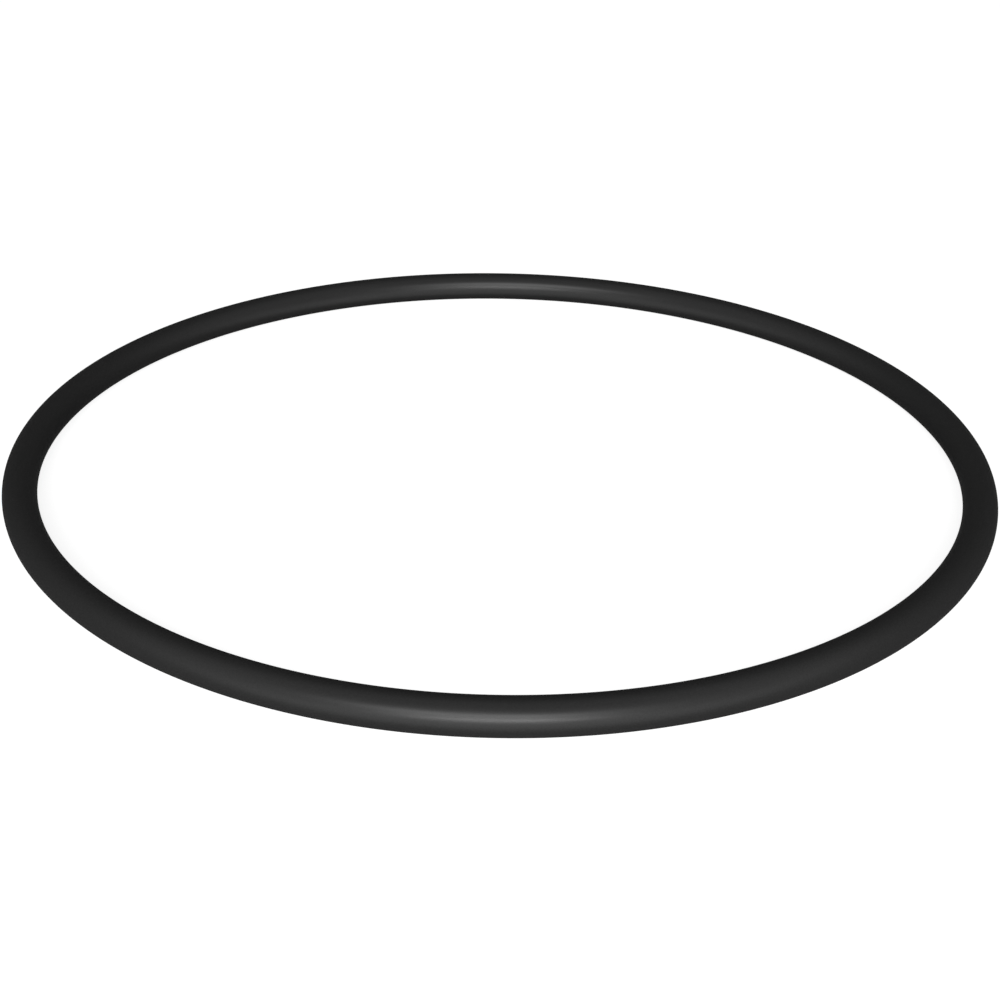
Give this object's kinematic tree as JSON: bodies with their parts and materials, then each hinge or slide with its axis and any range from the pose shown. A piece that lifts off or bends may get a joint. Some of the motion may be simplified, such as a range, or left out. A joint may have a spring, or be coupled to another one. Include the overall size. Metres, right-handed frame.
{
  "type": "o-ring",
  "caption": "Round moulded rubber sealing ring with a solid circular section, lying flat.",
  "frame": {"origin": "centre of the ring, on its axis and in the middle plane of its section", "axes": "+Z along the ring's axis, square to the surface that it lies on; X and Y lie in the middle plane"},
  "size_m": [0.09, 0.09, 0.003],
  "materials": {
    "rubber": "satin"
  },
  "bodies": {
    "root": {"o_ring": "rubber"}
  },
  "joints": []
}
